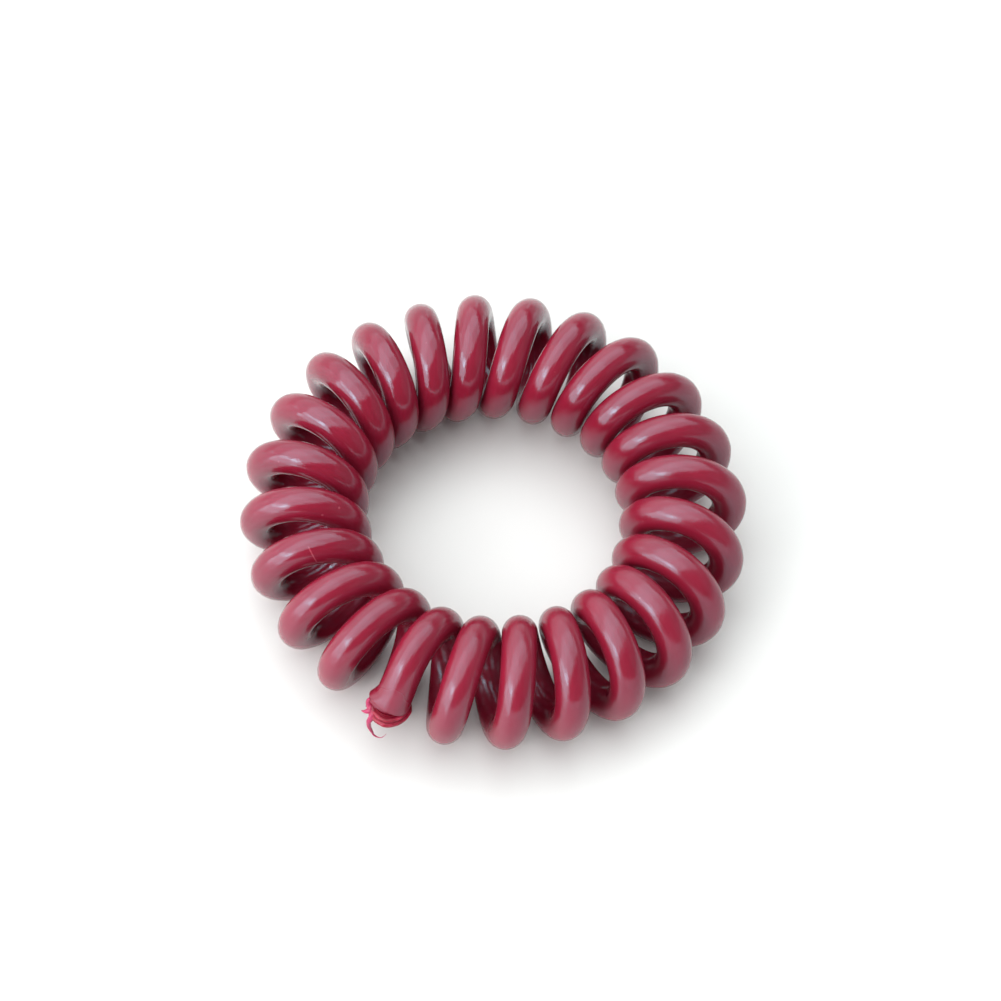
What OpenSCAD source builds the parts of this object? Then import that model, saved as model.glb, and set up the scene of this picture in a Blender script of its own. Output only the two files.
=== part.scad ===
// Spiral hair tie: a ring of coiled plastic cord whose two ends are melted together.
// Millimetres, +Z up. The origin is the middle of the ring, on the surface it lies on.
// Turns are counted clockwise from the weld, seen from above. The coil is left-handed.

/* [Ring] */
// Number of turns round the ring
turns = 24; // [18:1:32]
// Usual clear gap between two turns, on the inner side of the ring
turn_gap = 0.26; // [0.2:0.02:1]
// Place of the weld round the ring, counter-clockwise from +X
weld_angle = 249; // [0:1:359]

/* [Cord] */
// Thickness of the round cord
cord_d = 3.4; // [2.4:0.1:4.2]
// Outer diameter of one turn of the coil
turn_d = 12.6; // [11:0.1:18]
// How far the foot of each turn stands counter-clockwise of its top, in degrees
turn_tilt = 1.5; // [0:0.1:2]

/* [Weld] */
// Diameter of the collar of melted plastic between the two ends
collar_d = 4.6; // [4.4:0.1:7]
// Thickness of that collar
collar_t = 0.7; // [0.4:0.1:1.4]
// Height of the weld above the middle of its turn
weld_up = 0; // [-1.5:0.1:2]
// How far the weld's turn stands out past a round one
weld_reach = 0.5; // [-0.5:0.1:1]
// How far the weld is pushed clockwise along the ring
weld_push = -0.6; // [-0.9:0.1:0.5]
// Downward slope of the end that comes in over the top
fall_in = 60; // [45:1:75]
// Downward slope of the end that goes back under the ring
fall_out = 115; // [95:1:125]
// Downward slope of the line through the collar
collar_fall = 80; // [70:1:95]
// Sideways slope of the end that comes in, clockwise
side_in = 12; // [-5:1:25]
// Sideways slope of the end that goes back, clockwise
side_out = -4; // [-20:1:20]

/* [Hidden] */
// Columns of TURNS, a row for each turn, clockwise from the weld:
// clear gap on to the next turn, as a share of turn_gap;
// lean of the outer end clockwise, as a share of the average pitch angle;
// shift of the turn away from the middle, as a share of cord_d
GAP = 0;
LEAN = 1;
REACH = 2;
TURNS = [
    [0.9, 0.02, 0.00],
    [1.1, 0.01, -0.08],
    [1.0, 0.00, -0.11],
    [1.4, 0.03, -0.12],
    [1.6, 0.00, -0.10],
    [1.5, -0.01, -0.10],
    [1.2, 0.02, -0.12],
    [0.9, 0.05, -0.08],
    [0.8, 0.05, -0.09],
    [0.6, 0.06, -0.12],
    [1.0, 0.05, -0.10],
    [1.8, 0.00, -0.09],
    [0.7, -0.04, -0.05],
    [1.0, 0.00, -0.02],
    [0.9, 0.04, 0.00],
    [1.0, 0.07, -0.01],
    [2.0, 0.06, 0.00],
    [2.3, 0.06, -0.02],
    [1.0, 0.04, 0.02],
    [1.0, 0.02, 0.04],
    [0.7, 0.02, 0.05],
    [0.4, 0.01, 0.03],
    [0.5, -0.01, 0.04],
    [0.3, 0.00, 0.04],
];
cord_r = cord_d / 2;
// From the middle of a turn to the middle of the cord
loop_r = turn_d / 2 - cord_r;
loop_z = turn_d / 2;
// Width that one slanting strand takes up along the inner side
slant = atan((cord_d + turn_gap) / (2 * PI * loop_r));
strand_w = cord_d / cos(slant);
// Inner side of the ring, turn by turn, and its radius at the middle of the cord
steps = [for (i = [0:turns - 1]) strand_w + turn_gap * row(i)[GAP]];
inner_len = total(steps, turns);
ring_r = inner_len / (2 * PI) + loop_r;
pitch = 360 / turns;
// Sections round the cord and along one turn, and along each end by the weld
SIDES = 12;
PER_TURN = 16;
END_STEPS = 3;
// The even part of the coil starts and ends this far from the weld, in turns
FOOT = 0.25;
// Length of the pull at each end of a curve by the weld, as a share of the loop
PULL = 1.5;
NUDGE = 0.001;

// Row of a turn; the table is used again from its start where turns run past it
function row(i) = TURNS[(i + turns) % turns % len(TURNS)];

// Sum of the first n entries
function total(list, n) = n <= 0 ? 0 : list[n - 1] + total(list, n - 1);

function unit(v) = v / norm(v);

// Smooth curve through b and c, which lie between a and d
function through(a, b, c, d, t) =
    b + 0.5 * t * (c - a + t * (2 * a - 5 * b + 4 * c - d + t * (3 * (b - c) + d - a)));

// Value that goes gently from a to b
function ease(a, b, t) = a + (b - a) * (1 - cos(180 * t)) / 2;

// Clockwise angle at which turn j touches the inner side; the weld lies at zero.
// Turn 0 and the last turn are the weld's own turn, before and after it
function inner_mark(j) = 360 * (total(steps, j) / inner_len) - 360 * steps[0] / inner_len / 2;

function mark(j) =
    j < 0 ? inner_mark(j + turns) - 360 : j > turns ? inner_mark(j - turns) + 360 : inner_mark(j);

marks = [for (j = [-2:turns + 3]) mark(j)];

// Clockwise angle of the cord's middle at s turns from the weld
function cw_angle(s) =
    let (j = floor(s + 0.5), t = s + 0.5 - j, k = floor(s))
    let (even = through(marks[j + 1], marks[j + 2], marks[j + 3], marks[j + 4], t))
    let (lean = pitch * ease(row(k)[LEAN], row(k + 1)[LEAN], s - k))
    even + lean * (1 + cos(360 * s)) / 2 - turn_tilt * (1 + sin(360 * s)) / 2;

// Point at a distance from the ring's axis, at a clockwise angle from the weld
function at(r, cw, z) = [r * cos(weld_angle - cw), r * sin(weld_angle - cw), z];

// Direction with parts outward, clockwise and up, at a clockwise angle from the weld
function toward(out, clock, up, cw) =
    let (a = weld_angle - cw)
    unit([out * cos(a) + clock * sin(a), out * sin(a) - clock * cos(a), up]);

// Middle of the cord at s turns from the weld: outermost at whole numbers, then down,
// inward along the floor, up the inner side and outward over the top
function even_at(s) =
    let (k = floor(s), reach = cord_d * ease(row(k)[REACH], row(k + 1)[REACH], s - k))
    at(ring_r + reach + loop_r * cos(360 * s), cw_angle(s), loop_z - loop_r * sin(360 * s));

function even_way(s) = unit(even_at(s + NUDGE) - even_at(s - NUDGE));

// The weld: its middle, the ways the cord comes in and goes back, and its plane
weld_r = ring_r + loop_r + weld_reach;
weld_cw = weld_push / weld_r * 180 / PI;
weld_at = at(weld_r, weld_cw, loop_z + weld_up);
way_in = toward(cos(fall_in) * cos(side_in), sin(side_in), -sin(fall_in) * cos(side_in), weld_cw);
way_out = toward(cos(fall_out) * cos(side_out), sin(side_out), -sin(fall_out) * cos(side_out), weld_cw);
weld_way = toward(cos(collar_fall), 0, -sin(collar_fall), weld_cw);

// Curve from p to q that leaves along v and arrives along w
function bend(p, v, q, w, t) =
    let (pull = PULL * loop_r)
    (1 + 2 * t) * (1 - t) ^ 2 * p + t * (1 - t) ^ 2 * pull * v
    + t ^ 2 * (3 - 2 * t) * q - t ^ 2 * (1 - t) * pull * w;

foot_at = even_at(FOOT);
foot_way = even_way(FOOT);
top_at = even_at(turns - FOOT);
top_way = even_way(turns - FOOT);

function out_at(t) = bend(weld_at, way_out, foot_at, foot_way, t);
function in_at(t) = bend(top_at, top_way, weld_at, way_in, t);
function out_way(t) = unit(out_at(t + NUDGE) - out_at(t - NUDGE));
function in_way(t) = unit(in_at(t + NUDGE) - in_at(t - NUDGE));

// Middle of the turn that a point belongs to, on the ring's centre line
function hub(p) =
    let (flat = unit([p.x, p.y]) * ring_r)
    [flat.x, flat.y, loop_z];

// Ring of points round the cord at p; the first one faces away from the turn's middle
function cord_ring(p, way) =
    let (away = p - hub(p), n = unit(away - (away * way) * way), b = cross(way, n))
    [for (k = [0:SIDES - 1]) p + cord_r * (n * cos(360 * k / SIDES) + b * sin(360 * k / SIDES))];

// The same ring cut off by the collar's face, at a signed distance from the weld
function cut_ring(way, side) =
    [for (v = cord_ring(weld_at, way))
        v + way * (((weld_at - v) * weld_way + side * collar_t / 2) / (way * weld_way))];

even_count = (turns - 2 * FOOT) * PER_TURN;
rings = concat(
    [cut_ring(way_out, 1)],
    [for (i = [1:END_STEPS]) let (t = i / (END_STEPS + 1)) cord_ring(out_at(t), out_way(t))],
    [for (i = [0:even_count]) let (s = FOOT + i / PER_TURN) cord_ring(even_at(s), even_way(s))],
    [for (i = [1:END_STEPS]) let (t = i / (END_STEPS + 1)) cord_ring(in_at(t), in_way(t))],
    [cut_ring(way_in, -1)]
);

// The coiled cord, from the collar once round the ring and back to the collar
module coil() {
    last = len(rings) - 1;
    points = [for (r = rings) each r];
    // Two triangles for each four-sided patch between neighbouring rings
    skin = [
        for (i = [0:last - 1], k = [0:SIDES - 1])
            let (a = i * SIDES + k, b = i * SIDES + (k + 1) % SIDES)
            each [[a, b + SIDES, b], [a, a + SIDES, b + SIDES]]
    ];
    first_end = [for (k = [0:SIDES - 1]) k];
    last_end = [for (k = [SIDES - 1:-1:0]) last * SIDES + k];
    color([0.58, 0.15, 0.24])
        polyhedron(points, concat(skin, [first_end, last_end]));
}

// The collar of melted plastic between the two ends of the cord, with a rounded rim
module weld_collar() {
    x = unit(cross(weld_way, [0, 0, 1]));
    y = cross(weld_way, x);
    face_r = (collar_d - collar_t) / 2;
    color([0.8, 0.12, 0.28])
        multmatrix([
            [x.x, y.x, weld_way.x, weld_at.x],
            [x.y, y.y, weld_way.y, weld_at.y],
            [x.z, y.z, weld_way.z, weld_at.z],
        ]) {
            cylinder(h = collar_t, r = face_r, center = true, $fn = 64);
            rotate_extrude($fn = 64)
                translate([face_r, 0])
                    circle(d = collar_t, $fn = 32);
        }
}

coil();
weld_collar();
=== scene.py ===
# Spiral hair tie: a ring of coiled cord of glossy burgundy plastic, its two ends melted together.
# Metres, +Z up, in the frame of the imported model. The ring lies on a pale floor at z = 0.
# Clockwise is as seen from above.
import math
import bmesh
import bpy
import numpy as np
from mathutils import Matrix, Vector, noise


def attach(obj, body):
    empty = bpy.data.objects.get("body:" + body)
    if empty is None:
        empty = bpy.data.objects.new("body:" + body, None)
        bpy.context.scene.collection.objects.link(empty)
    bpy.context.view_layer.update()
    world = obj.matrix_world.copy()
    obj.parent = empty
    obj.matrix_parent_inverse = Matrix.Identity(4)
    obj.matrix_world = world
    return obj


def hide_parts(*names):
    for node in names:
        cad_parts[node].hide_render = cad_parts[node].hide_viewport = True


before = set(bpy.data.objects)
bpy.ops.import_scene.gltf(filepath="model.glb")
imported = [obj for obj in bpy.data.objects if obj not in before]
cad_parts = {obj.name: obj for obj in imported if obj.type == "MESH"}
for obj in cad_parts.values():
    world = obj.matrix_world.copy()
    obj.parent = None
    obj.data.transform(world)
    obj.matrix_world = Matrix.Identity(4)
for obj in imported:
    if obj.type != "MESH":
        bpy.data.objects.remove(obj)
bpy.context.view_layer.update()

MM = 0.001


# Small helpers

def only(obj):
    """Leaves obj as the only selected object, and the active one."""
    bpy.ops.object.select_all(action="DESELECT")
    obj.select_set(True)
    bpy.context.view_layer.objects.active = obj


def settle(obj):
    """Puts the object's place into its mesh, so that it sits at the origin."""
    only(obj)
    bpy.ops.object.transform_apply(location=True, rotation=True, scale=True)
    bpy.ops.object.shade_smooth()


def unit(v):
    """The way in which v points, one long."""
    return v / np.linalg.norm(v)


def between(a, b, c, d, t):
    """A point between b and c on a smooth curve that comes from a and goes on to d."""
    return b + 0.5 * t * (c - a + t * (2 * a - 5 * b + 4 * c - d + t * (3 * (b - c) + d - a)))


# The weld and the cord's middle, read off the CAD solids

# Corners nearer to each other than this are one
MERGE = 0.001 * MM
# A corner this near to the plane of the collar's face lies on it
ON_FACE = 0.02 * MM
# The cord's ends lie within this many radii of the collar from its middle
END_ZONE = 1.5


def corners(node_name):
    """The corners of a CAD node's mesh, merged, and for each one those that it shares an edge with."""
    bm = bmesh.new()
    bm.from_mesh(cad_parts[node_name].data)
    bmesh.ops.remove_doubles(bm, verts=bm.verts[:], dist=MERGE)
    bm.verts.index_update()
    points = np.array([v.co[:] for v in bm.verts])
    joined = [[e.other_vert(v).index for e in v.link_edges] for v in bm.verts]
    bm.free()
    return points, joined


collar_points, _ = corners("weld_collar")
weld_at = (collar_points.min(0) + collar_points.max(0)) / 2
# The collar's axis, pointing down: the way in which its corners spread least
flattest = np.linalg.svd(collar_points - collar_points.mean(0), full_matrices=False)[2][2]
weld_way = flattest if flattest[2] < 0 else -flattest
from_weld = collar_points - weld_at
down_axis = from_weld @ weld_way
collar_half = np.abs(down_axis).max()
collar_r = np.linalg.norm(from_weld - np.outer(down_axis, weld_way), axis=1).max()


def cord_middle():
    """The cord's middle, from under the weld once round the ring to above it, and the cord's radius."""
    points, joined = corners("coil")
    off = points - weld_at
    near = np.linalg.norm(off, axis=1) < END_ZONE * collar_r
    on_lower_face = abs(off @ weld_way - collar_half) < ON_FACE
    ring = set(np.nonzero(near & on_lower_face)[0].tolist())
    seen, middle, radii = set(ring), [], []
    # From one ring of corners round the cord to the next
    while ring:
        here = points[sorted(ring)]
        middle.append(here.mean(0))
        radii.append(np.linalg.norm(here - middle[-1], axis=1).mean())
        ring = {j for i in ring for j in joined[i]} - seen
        seen |= ring
    return np.array(middle), float(np.median(radii))


middle, cord_r = cord_middle()

# At the weld: straight out from the ring's middle, and clockwise round the ring
collar_spot = Vector(weld_at)
out_way = Vector((weld_at[0], weld_at[1], 0)).normalized()
clockwise = Vector((out_way.y, -out_way.x, 0))


# Building blocks of the finishes

def set_inputs(tree, made, inputs):
    """Sets a shader node's inputs, by name or number: a value, or an output to link."""
    for key, value in inputs.items():
        if isinstance(value, bpy.types.NodeSocket):
            tree.links.new(value, made.inputs[key])
        else:
            made.inputs[key].default_value = value


def node(tree, kind, inputs, **settings):
    """A shader node with its settings and inputs."""
    made = tree.nodes.new(kind)
    for key, value in settings.items():
        setattr(made, key, value)
    set_inputs(tree, made, inputs)
    return made


def material(name):
    """A new material with its shader, and the places on the object and on its UV map."""
    mat = bpy.data.materials.new(name)
    mat.use_nodes = True
    tree = mat.node_tree
    coords = tree.nodes.new("ShaderNodeTexCoord").outputs
    return mat, tree, tree.nodes["Principled BSDF"], coords["Object"], coords["UV"]


def mottle(tree, where, scale, detail, roughness=0.5):
    """Soft random values from 0 to 1."""
    inputs = {"Vector": where, "Scale": scale, "Detail": detail, "Roughness": roughness}
    return node(tree, "ShaderNodeTexNoise", inputs).outputs["Fac"]


def remap(tree, value, given, wanted=(0.0, 1.0)):
    """A value that goes from one end of wanted to the other while the given one does so over given."""
    inputs = {
        "Value": value,
        "From Min": given[0],
        "From Max": given[1],
        "To Min": wanted[0],
        "To Max": wanted[1],
    }
    return node(tree, "ShaderNodeMapRange", inputs).outputs["Result"]


def maths(tree, operation, *values):
    """One step of arithmetic on one or two values."""
    return node(tree, "ShaderNodeMath", dict(enumerate(values)), operation=operation).outputs["Value"]


def place_maths(tree, operation, *values, out="Value"):
    """One step of arithmetic on places, which gives a value, or another place where out says so."""
    return node(tree, "ShaderNodeVectorMath", dict(enumerate(values)), operation=operation).outputs[out]


def blend(tree, share, first, second):
    """The first colour, with a share of the second."""
    inputs = {"Factor": share, 6: first, 7: second}
    return node(tree, "ShaderNodeMix", inputs, data_type="RGBA").outputs[2]


def relief(tree, height, strength, depth, **under):
    """A bumpy surface, on top of the one given as Normal."""
    inputs = {"Height": height, "Strength": strength, "Distance": depth, **under}
    return node(tree, "ShaderNodeBump", inputs).outputs["Normal"]


def own_value(tree, name):
    """A value that the mesh carries at its corners; zero on a mesh that has none."""
    made = node(tree, "ShaderNodeAttribute", {}, attribute_name=name, attribute_type="GEOMETRY")
    return made.outputs["Fac"]


def ramp(tree, factor, stops):
    """A colour ramp through stops of (place, colour)."""
    made = node(tree, "ShaderNodeValToRGB", {"Fac": factor})
    places = made.color_ramp.elements
    while len(places) < len(stops):
        places.new(0.5)
    for element, (place, colour) in zip(places, stops):
        element.position = place
        element.color = (*colour, 1.0)
    return made.outputs["Color"]


# The cord's plastic

# Place on the ramp, and colour
BURGUNDY = [
    (0.30, (0.201, 0.0085, 0.0250)),
    (0.52, (0.221, 0.0095, 0.0276)),
    (0.75, (0.240, 0.0106, 0.0308)),
]
SCRATCH_PINK = (0.62, 0.16, 0.20, 1.0)
# How much of that pink shows in the scar and the specks
SCRATCH_SHARE = 0.3
# The scar on the left: its middle, the way across it, and where its half width and half length fade
SCAR_AT = (-16.55 * MM, -9.78 * MM, 11.64 * MM)
SCAR_ACROSS = (-0.857, -0.413, -0.309)
SCAR_WIDE = (0.03 * MM, 0.08 * MM)
SCAR_LONG = (0.75 * MM, 1.0 * MM)
# Specks of dust: cells in a metre, where a speck's edge fades, as shares of a cell,
# and the chance above which a cell has one
SPECK_CELLS = 620.0
SPECK_EDGE = (0.04, 0.10)
SPECK_CHANCE = (0.93, 0.94)
# The sheen goes from sharp at the back left to duller at the front right, where the turns are
# more handled
HANDLED_WAY = (0.707, -0.707, 0.0)
HANDLED_FROM_TO = (-12 * MM, 8 * MM)
HANDLED_ROUGH = (0.13, 0.215)
# Distance from the weld over which the plastic that was heated goes from duller to plain
HEATED_FROM_TO = (2.0 * MM, 5.5 * MM)
HEATED_ROUGH = (0.08, 0.0)


def scar_and_specks(tree, where):
    """One where the cord is scarred or has a speck of dust on it, and zero elsewhere."""
    # A hairline across one turn: a thin slice of a small ball
    off = place_maths(tree, "SUBTRACT", where, SCAR_AT, out="Vector")
    across = maths(tree, "ABSOLUTE", place_maths(tree, "DOT_PRODUCT", off, SCAR_ACROSS))
    slit = remap(tree, across, SCAR_WIDE, (1.0, 0.0))
    ball = remap(tree, place_maths(tree, "LENGTH", off), SCAR_LONG, (1.0, 0.0))
    # Round specks, in a small share of the cells
    cells = node(tree, "ShaderNodeTexVoronoi", {"Vector": where, "Scale": SPECK_CELLS}).outputs
    chance = node(tree, "ShaderNodeSeparateColor", {"Color": cells["Color"]}).outputs["Red"]
    dot = remap(tree, cells["Distance"], SPECK_EDGE, (1.0, 0.0))
    speck = maths(tree, "MULTIPLY", dot, remap(tree, chance, SPECK_CHANCE))
    return maths(tree, "MAXIMUM", maths(tree, "MULTIPLY", slit, ball), speck)


def cord_plastic():
    """Burgundy plastic, glossy and a little uneven."""
    mat, tree, shader, where, uv = material("cord_plastic")
    # Slow, faint change of colour along the cord, as in coloured plastic that was drawn and wound warm
    cloud = mottle(tree, where, scale=160.0, detail=3.0, roughness=0.55)
    tone = ramp(tree, cloud, BURGUNDY)
    marks = maths(tree, "MULTIPLY", scar_and_specks(tree, where), SCRATCH_SHARE)
    # Sheen that differs from place to place
    handled = place_maths(tree, "DOT_PRODUCT", where, HANDLED_WAY)
    dull = remap(tree, handled, HANDLED_FROM_TO, HANDLED_ROUGH)
    uneven = remap(tree, cloud, (0.3, 0.7), (-0.02, 0.04))
    to_weld = place_maths(tree, "DISTANCE", where, tuple(weld_at))
    heated = remap(tree, to_weld, HEATED_FROM_TO, HEATED_ROUGH)
    # Soft waves of the surface, faint draw lines along the cord, and a fine grain
    along = node(tree, "ShaderNodeMapping", {"Vector": uv, "Scale": (30.0, 70.0, 1.0)}).outputs["Vector"]
    waves = mottle(tree, where, scale=420.0, detail=1.0)
    lines = mottle(tree, along, scale=1.0, detail=2.0)
    grain = mottle(tree, where, scale=2700.0, detail=2.0)
    wavy = relief(tree, waves, strength=0.22, depth=0.2 * MM)
    drawn = relief(tree, lines, strength=0.2, depth=0.05 * MM, Normal=wavy)
    set_inputs(tree, shader, {
        "Base Color": blend(tree, marks, tone, SCRATCH_PINK),
        "Roughness": maths(tree, "ADD", maths(tree, "ADD", dull, uneven), heated),
        "Normal": relief(tree, grain, strength=0.4, depth=0.03 * MM, Normal=drawn),
        "IOR": 1.68,
        "Specular Tint": (0.40, 0.81, 0.97, 1.0),
        "Subsurface Weight": 0.3,
        "Subsurface Radius": (1.0, 0.2, 0.3),
        "Subsurface Scale": 1.3 * MM,
    })
    return mat


# The melted plastic and the floor

# Place on the ramp, and colour
MELT_RED = [
    (0.34, (0.175, 0.003, 0.014)),
    (0.50, (0.270, 0.007, 0.030)),
    (0.68, (0.400, 0.025, 0.070)),
]
# Painted shade: the darker red painted into the grooves, the folds and the hollow under the cord's end
GROOVE_SHADE_RED = (0.130, 0.001, 0.010, 1.0)
# Painted glow: the paler pink painted on the thin threads for light shining through them
THREAD_GLOW_PINK = (0.36, 0.024, 0.095, 1.0)
# Strength of the shine, from the crests to the deepest grooves, where it is lowered along with the
# painted shade
CREST_TO_GROOVE = (0.5, 0.12)
BOARD_PALE = [
    (0.3, (0.652, 0.676, 0.666)),
    (0.7, (0.674, 0.698, 0.688)),
]


def melted_plastic():
    """The same plastic, melted and squeezed out: brighter, clearer and lumpy."""
    mat, tree, shader, where, _ = material("melted_plastic")
    tone = ramp(tree, mottle(tree, where, scale=1100.0, detail=3.0, roughness=0.6), MELT_RED)
    # Painted shade: the grooves and the hollow under the cord's end are painted a darker red, with less
    # shine
    groove_shade = own_value(tree, "groove_shade")
    grooved = blend(tree, groove_shade, tone, GROOVE_SHADE_RED)
    # The drawn-out threads are thin, and are painted a paler pink for light shining through them
    thin = own_value(tree, "thin")
    lumps = mottle(tree, where, scale=2200.0, detail=2.0)
    set_inputs(tree, shader, {
        "Base Color": blend(tree, thin, grooved, THREAD_GLOW_PINK),
        "Roughness": 0.28,
        "Normal": relief(tree, lumps, strength=0.4, depth=0.08 * MM),
        "IOR": 1.44,
        "Specular IOR Level": remap(tree, groove_shade, (0.0, 1.0), CREST_TO_GROOVE),
        "Subsurface Weight": 0.3,
        "Subsurface Radius": (1.0, 0.18, 0.25),
        "Subsurface Scale": 0.5 * MM,
    })
    return mat


def floor_white():
    """A plain pale board with a dull sheen."""
    mat, tree, shader, where, _ = material("floor_white")
    cloud = mottle(tree, where, scale=9.0, detail=3.0)
    set_inputs(tree, shader, {
        "Base Color": ramp(tree, cloud, BOARD_PALE),
        "Roughness": remap(tree, cloud, (0.3, 0.7), (0.34, 0.40)),
        "IOR": 1.5,
    })
    return mat


CORD = cord_plastic()
MELTED = melted_plastic()
FLOOR = floor_white()


def dress(obj, mat):
    """Gives a finished piece its material and ties it to the frame."""
    obj.data.materials.clear()
    obj.data.materials.append(mat)
    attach(obj, "root")


# The coiled cord

# Both ends run on this far into the melted collar
INTO = 0.35 * MM
# Width of the lower end where it stops, as a share of the cord's
LOWER_WIDTH = 0.95
# The upper end has a step above a narrower neck: places on the cord's last stretch, as shares of it,
# and widths from the start of that stretch into the collar, as shares of the cord's
STEP_AT = (0.45, 0.69, 0.79)
UPPER_WIDTHS = [1.03, 1.06, 1.06, 0.90, 0.86]
# It is cut a little aslant: the slope, and how far above the end it begins and is full
SLOPE = 0.10
SLOPE_BEGINS = 2.0 * MM
SLOPE_FULL = 0.6 * MM
# It went soft and bulged, mostly on its clockwise side: how far the bulge stands out,
# and how far above the end it begins and is full
BULGE = 0.70 * MM
BULGE_BEGINS = 1.3 * MM
BULGE_FULL = 0.1 * MM
BULGE_WAY = (clockwise * 0.96 + out_way * 0.28).normalized()
# What counts as the upper end: the cord this near to where it stops, and at most this far below
# the middle of the weld
END_REACH = 4 * MM
END_LOW = 0.5 * MM


def tube(name, points, radius, widths, bevel=10, steps=4):
    """A round tube along points, drawn as a curve and turned into a mesh with its own UV map."""
    bpy.ops.object.select_all(action="DESELECT")
    bpy.ops.curve.primitive_bezier_curve_add()
    obj = bpy.context.object
    obj.name = obj.data.name = name
    spline = obj.data.splines[0]
    spline.bezier_points.add(len(points) - 2)
    for place, spot, width in zip(spline.bezier_points, points, widths):
        place.co = spot
        place.handle_left_type = place.handle_right_type = "AUTO"
        place.radius = width
    obj.data.bevel_depth = radius
    obj.data.bevel_resolution = bevel
    obj.data.resolution_u = steps
    obj.data.use_fill_caps = True
    only(obj)
    bpy.ops.object.convert(target="MESH")
    obj = bpy.context.object
    settle(obj)
    return obj


def cord():
    """The whole cord, with the step at its upper end."""
    below = middle[0] - INTO * unit(middle[1] - middle[0])
    above = middle[-1] + INTO * unit(middle[-1] - middle[-2])
    near_end = [between(middle[-3], middle[-2], middle[-1], above, t) for t in STEP_AT]
    path = [below, *middle[:-1], *near_end, above]
    widths = [LOWER_WIDTH] + [1.0] * (len(path) - 1 - len(UPPER_WIDTHS)) + UPPER_WIDTHS
    return tube("coil_cord", path, cord_r, widths)


def soften_upper_end(obj):
    """Slants the cut and pushes out the bulge."""
    cut_at = Vector(middle[-1])
    cut_way = Vector(unit(middle[-1] - middle[-2]))
    for v in obj.data.vertices:
        off = v.co - cut_at
        high = -off.dot(cut_way)
        aside = off + high * cut_way
        if off.length > END_REACH or high > SLOPE_BEGINS or v.co.z < collar_spot.z - END_LOW:
            continue
        slope = SLOPE * min(1.0, (SLOPE_BEGINS - high) / (SLOPE_BEGINS - SLOPE_FULL))
        v.co -= cut_way * aside.dot(clockwise) * slope
        if high < BULGE_BEGINS and aside.length > 0.5 * cord_r:
            side = max(0.0, aside.normalized().dot(BULGE_WAY))
            share = min(1.0, (BULGE_BEGINS - high) / (BULGE_BEGINS - BULGE_FULL))
            v.co += BULGE_WAY * BULGE * side ** 3 * share ** 1.2


coil = cord()
soften_upper_end(coil)
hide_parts("coil")
dress(coil, CORD)


# The melted collar

# Columns of RIM, once round the collar: angle from straight out, towards the clockwise side,
# and how far the rim reaches from the middle, in millimetres
RIM = [
    [-180, 2.05],
    [-150, 2.20],
    [-120, 2.25],
    [-85, 2.14],
    [-55, 2.08],
    [-20, 2.18],
    [5, 2.08],
    [30, 2.00],
    [55, 2.02],
    [80, 1.95],
    [105, 1.78],
    [135, 1.74],
    [160, 1.88],
]
# Columns of FOLDS, once round the section of the rim: angle from straight out, upwards;
# distance from the middle of the weld and height above it, in millimetres; how much painted shade its
# red gets
FOLDS = [
    [-180, 1.10, 0.00, 1.0],
    [-135, 1.25, -0.34, 1.0],
    [-90, 1.60, -0.50, 0.6],
    [-62, 1.88, -0.46, 0.1],
    [-40, 2.03, -0.30, 0.0],
    [-20, 1.98, -0.12, 0.1],
    [0, 2.12, 0.02, 0.0],
    [18, 2.06, 0.16, 0.1],
    [36, 1.89, 0.24, 0.7],
    [52, 1.93, 0.40, 0.0],
    [72, 1.88, 0.56, 0.0],
    [92, 1.70, 0.60, 0.2],
    [110, 1.55, 0.62, 1.0],
    [132, 1.46, 0.82, 1.0],
    [155, 1.15, 0.60, 1.0],
]
# Least and greatest distance in FOLDS. RIM has no part in the shape at the first, and sets it
# alone at the second
INNER = 1.1
FULL = 2.12
# The torus that the rim starts as: from its middle to the tube's, and the tube's radius
TORUS_R = 1.66 * MM
TORUS_TUBE_R = 0.46 * MM
# The folds wander round the section by up to this angle, as squeezed plastic sets
WANDER = 16
# How uneven the skin is, outward and upward, in millimetres
UNEVEN_OUT = 0.05
UNEVEN_UP = 0.04
# How close together the turns of the wandering, the lumps and the finer lumps come: number in a metre
WANDER_SCALE = 700
LUMP_SCALE = 1300
FINE_LUMP_SCALE = 3200
# Height of the finer lumps, as a share of the others'
FINE_SHARE = 0.4


def round_table(rows, angle, column):
    """Value of a column at an angle, on a smooth closed curve through the rows."""
    count = len(rows)
    i = max(k for k in range(count) if rows[k][0] <= angle)
    after = rows[i + 1][0] if i + 1 < count else rows[0][0] + 360
    a, b, c, d = (rows[(i + k) % count][column] for k in (-1, 0, 1, 2))
    return between(a, b, c, d, (angle - rows[i][0]) / (after - rows[i][0]))


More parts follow.
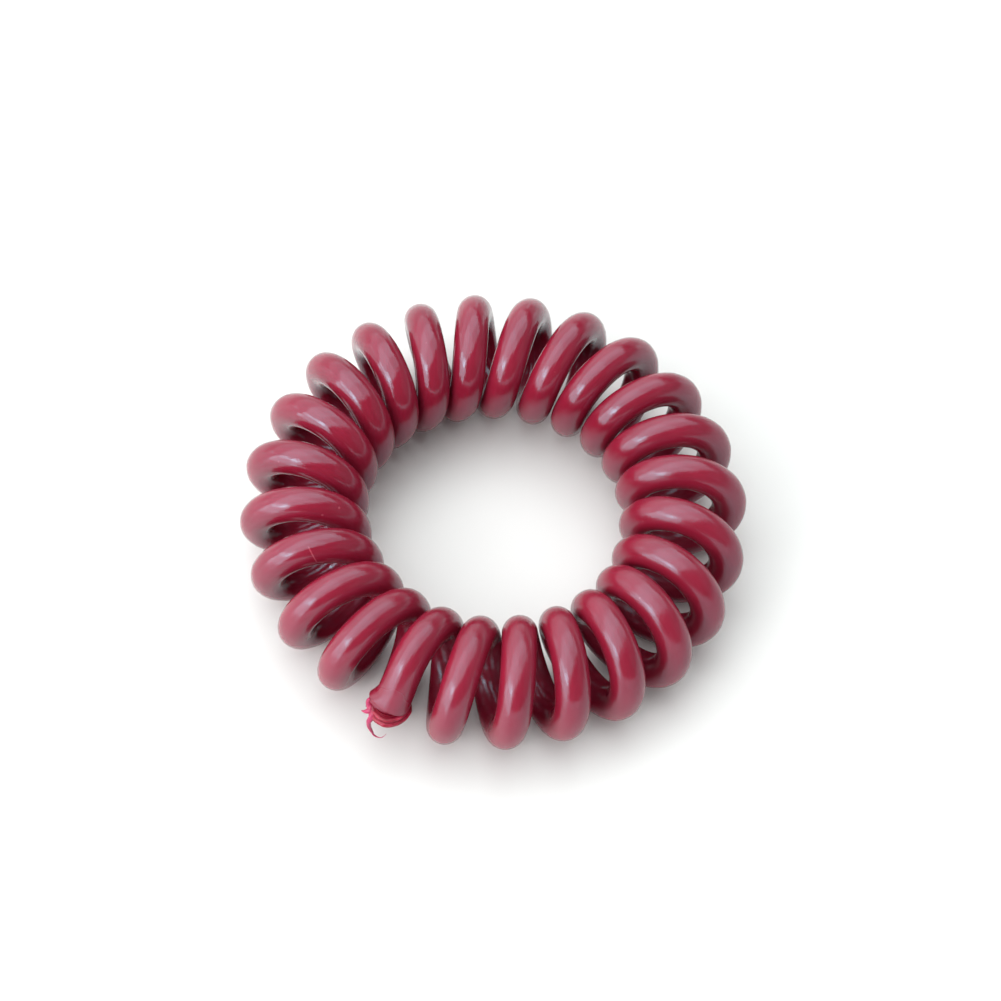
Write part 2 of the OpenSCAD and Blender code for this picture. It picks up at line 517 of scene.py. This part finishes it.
def flash():
    """The squeezed-out rim of melted plastic between the two ends of the cord."""
    bpy.ops.object.select_all(action="DESELECT")
    bpy.ops.mesh.primitive_torus_add(
        major_segments=200, minor_segments=64, major_radius=TORUS_R, minor_radius=TORUS_TUBE_R)
    obj = bpy.context.object
    obj.name = obj.data.name = "weld_flash"
    groove_shade = obj.data.attributes.new("groove_shade", "FLOAT", "POINT")
    for v in obj.data.vertices:
        # Here the collar's axis is z, and points down
        x, y, z = v.co
        flat = math.hypot(x, y)
        angle = math.degrees(math.atan2(y, x))
        wander = WANDER * noise.noise(Vector((x, y, 0)) * WANDER_SCALE)
        turn = (math.degrees(math.atan2(-z, flat - TORUS_R)) + wander + 180) % 360 - 180
        out, high, red = (round_table(FOLDS, turn, column) for column in (1, 2, 3))
        # How much painted shade the melt gets here
        groove_shade.data[v.index].value = min(1.0, max(0.0, red))
        edge = (out - INNER) / (FULL - INNER)
        rough = noise.noise(v.co * LUMP_SCALE) + FINE_SHARE * noise.noise(v.co * FINE_LUMP_SCALE)
        out = INNER + edge * (round_table(RIM, angle, 1) - INNER) + UNEVEN_OUT * edge * rough
        high += UNEVEN_UP * rough * edge
        v.co = (x / flat * out * MM, y / flat * out * MM, -high * MM)
    axis = Vector(weld_way)
    rim_out = (out_way - out_way.dot(axis) * axis).normalized()
    collar_frame = Matrix((rim_out, axis.cross(rim_out), axis)).transposed()
    obj.matrix_world = Matrix.Translation(collar_spot) @ collar_frame.to_4x4()
    settle(obj)
    return obj


weld = flash()
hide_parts("weld_collar")
dress(weld, MELTED)


# The pointed flare, the knot and the wisps drawn out of the melt

# The points of each one's middle line are millimetres outward, clockwise and upward from the
# middle of the weld
SPIKE = [
    (0.34, 0.95, 0.42), (0.88, 1.14, 0.58), (1.25, 1.42, 0.40), (1.41, 1.72, 0.28), (1.45, 2.08, 0.25),
]
FOLD = [
    (0.30, 1.66, 1.00), (0.48, 1.80, 0.58), (0.78, 1.58, 0.54), (1.12, 0.98, 0.56),
    (1.50, 0.84, 0.30), (1.84, 0.98, -0.10), (1.90, 1.06, -0.60),
]
WISP = [
    (0.85, 0.66, 0.42), (1.34, 0.86, 0.42), (1.76, 1.04, 0.05), (1.90, 1.10, -1.05), (1.90, 0.80, -2.15),
    (1.90, 0.44, -2.78), (1.90, -0.02, -2.78), (1.90, -0.42, -2.25), (1.90, -0.72, -1.40),
]
KNOT = [
    (0.72, 1.62, 0.62), (0.98, 1.38, 0.62), (1.30, 1.12, 0.36), (1.58, 0.92, 0.12), (1.72, 0.62, 0.00),
]
# Columns of THREADS: name, middle line, radius in millimetres, widths along it as shares of that
THREADS = [
    ("flash_spike", SPIKE, 0.34, (0.7, 1.0, 0.9, 0.55, 0.1)),
    ("flash_fold", FOLD, 0.30, (0.6, 0.9, 1.0, 1.0, 0.9, 0.8, 0.4)),
    ("flash_wisp", WISP, 0.24, (0.8, 1.0, 0.98, 0.90, 0.64, 0.34, 0.19, 0.12, 0.06)),
    ("flash_knot", KNOT, 0.33, (0.6, 1.0, 0.8, 1.0, 0.4)),
]
# How far from the middle of the weld a thread begins to get the paler pink painted for light shining
# through it, and over how much more it gets all of it, in millimetres
THIN_FROM = 1.72
THIN_OVER = 0.4
# Unevenness of a thread, as a share of its radius, and the number of its lumps in a metre
THREAD_UNEVEN = 0.07
THREAD_LUMP_SCALE = 2600


def by_weld(out, clock, up):
    """A point by its millimetres outward, clockwise and upward from the middle of the weld."""
    return collar_spot + (out_way * out + clockwise * clock + Vector((0, 0, up))) * MM


def thread(name, line, radius, widths):
    """A thread of melted plastic, with a value that says where it is thin and painted paler for light
    shining through.
    """
    piece = tube(name, [by_weld(*spot) for spot in line], radius * MM, widths, bevel=6, steps=10)
    thin = piece.data.attributes.new("thin", "FLOAT", "POINT")
    for v in piece.data.vertices:
        reach = (v.co - collar_spot).length / MM
        thin.data[v.index].value = min(1.0, max(0.0, (reach - THIN_FROM) / THIN_OVER))
        v.co += v.normal * THREAD_UNEVEN * radius * MM * noise.noise(v.co * THREAD_LUMP_SCALE)
    return piece


for row in THREADS:
    dress(thread(*row), MELTED)


# Floor

bpy.ops.object.select_all(action="DESELECT")
bpy.ops.mesh.primitive_plane_add(size=4.0)
floor = bpy.context.object
floor.name = "floor"
floor.data.materials.append(FLOOR)


# Light

WHITE = (1.0, 1.0, 1.0)
# Columns of SOFTBOXES: name; azimuth counter-clockwise from +X, seen from above, and elevation,
# in degrees; distance, width and height in metres; radiance; colour.
# The two low boards in front and to the right draw the thin pale lines along the turns
SOFTBOXES = [
    ("window", 228, 38, 0.9, 0.20, 0.26, 6.2, (1.0, 0.90, 0.92)),
    ("window_wide", 218, 20, 0.9, 0.80, 0.60, 3.7, (1.0, 0.97, 0.97)),
    ("left_fill", 180, 10, 1.4, 1.0, 0.6, 1.5, WHITE),
    ("back_fill", 120, 8, 1.4, 2.4, 0.6, 0.9, WHITE),
    ("back_right_fill", 62, 9, 1.4, 1.2, 0.45, 0.5, WHITE),
    ("right_fill", 5, 32, 1.4, 2.0, 0.9, 0.17, WHITE),
    ("low_board_front", -85, 6, 0.6, 1.2, 0.13, 1.25, WHITE),
    ("low_board_right", 5, 6, 0.6, 1.2, 0.13, 0.8, WHITE),
]
# A fill from the front right that gives no highlight
PLAIN_FILL = ("front_fill", -45, 25, 1.4, 2.4, 1.2, 0.6, WHITE)
# The big diffuser hangs overhead and to the back left; its edge runs from the front left to the
# back right, through EDGE
DIFFUSER_HEIGHT = 1.0
EDGE = Vector((0.275, -0.275))
BACK_LEFT = Vector((-math.sqrt(0.5), math.sqrt(0.5)))
BACK_RIGHT = Vector((math.sqrt(0.5), math.sqrt(0.5)))
# Columns of DIFFUSER: name; metres from its edge to the back left, start and end; metres along
# its edge, left and right end; radiance
DIFFUSER = [
    ("ceiling_near_left", 0.0, 0.5, -1.8, 0.1, 2.38),
    ("ceiling_near_right", 0.0, 0.5, 0.1, 1.3, 1.60),
    ("ceiling_mid_left", 0.5, 1.2, -1.8, 0.1, 3.05),
    ("ceiling_mid_right", 0.5, 1.2, 0.1, 1.3, 2.50),
    ("ceiling_far", 1.2, 3.2, -1.8, 1.8, 1.55),
]
# Light that comes from all round
ROOM = 0.12


def softbox(name, azimuth, elevation, distance, wide, high, radiance, colour):
    """A soft area light that faces the ring."""
    bpy.ops.object.select_all(action="DESELECT")
    a, e = math.radians(azimuth), math.radians(elevation)
    spot = Vector((math.cos(e) * math.cos(a), math.cos(e) * math.sin(a), math.sin(e))) * distance
    bpy.ops.object.light_add(type="AREA", location=spot)
    light = bpy.context.object
    light.name = name
    light.data.shape = "RECTANGLE"
    light.data.size = wide
    light.data.size_y = high
    light.data.energy = radiance * math.pi * wide * high
    light.data.color = colour
    light.rotation_mode = "QUATERNION"
    light.rotation_quaternion = (-spot).to_track_quat("-Z", "Y")
    return light


def ceiling_panel(name, start, end, left, right, radiance):
    """A part of the big diffuser, level and facing down."""
    panel = softbox(name, 0, 90, DIFFUSER_HEIGHT, end - start, right - left, radiance, WHITE)
    spot = EDGE + BACK_LEFT * (start + end) / 2 + BACK_RIGHT * (left + right) / 2
    panel.location = (spot.x, spot.y, DIFFUSER_HEIGHT)
    panel.rotation_mode = "XYZ"
    panel.rotation_euler = (0, 0, math.radians(135))


for row in DIFFUSER:
    ceiling_panel(*row)
for row in SOFTBOXES:
    softbox(*row)
softbox(*PLAIN_FILL).visible_glossy = False

world = bpy.data.worlds.new("studio")
world.use_nodes = True
background = world.node_tree.nodes["Background"].inputs
background["Color"].default_value = (*WHITE, 1.0)
background["Strength"].default_value = ROOM
bpy.context.scene.world = world
bpy.context.scene.view_settings.view_transform = "Standard"


# Camera

# It looks along +Y and down, and is rolled a little, as in the photograph
AIM = Vector((0.65, 5.27, 0)) * MM
DISTANCE = 274.3 * MM
ELEVATION = math.radians(58.4)
ROLL = math.radians(5.44)
look = Vector((0, math.cos(ELEVATION), -math.sin(ELEVATION)))
level = Vector((1, 0, 0))
upright = level.cross(look)
right = math.cos(ROLL) * level + math.sin(ROLL) * upright
up = math.cos(ROLL) * upright - math.sin(ROLL) * level
bpy.ops.object.camera_add()
camera = bpy.context.object
camera.data.sensor_fit = "HORIZONTAL"
camera.data.sensor_width = 36.0
camera.data.lens = 97.65
camera.data.clip_start = 0.01
turned = Matrix((right, up, -look)).transposed().to_4x4()
camera.matrix_world = Matrix.Translation(AIM - look * DISTANCE) @ turned
bpy.context.scene.camera = camera
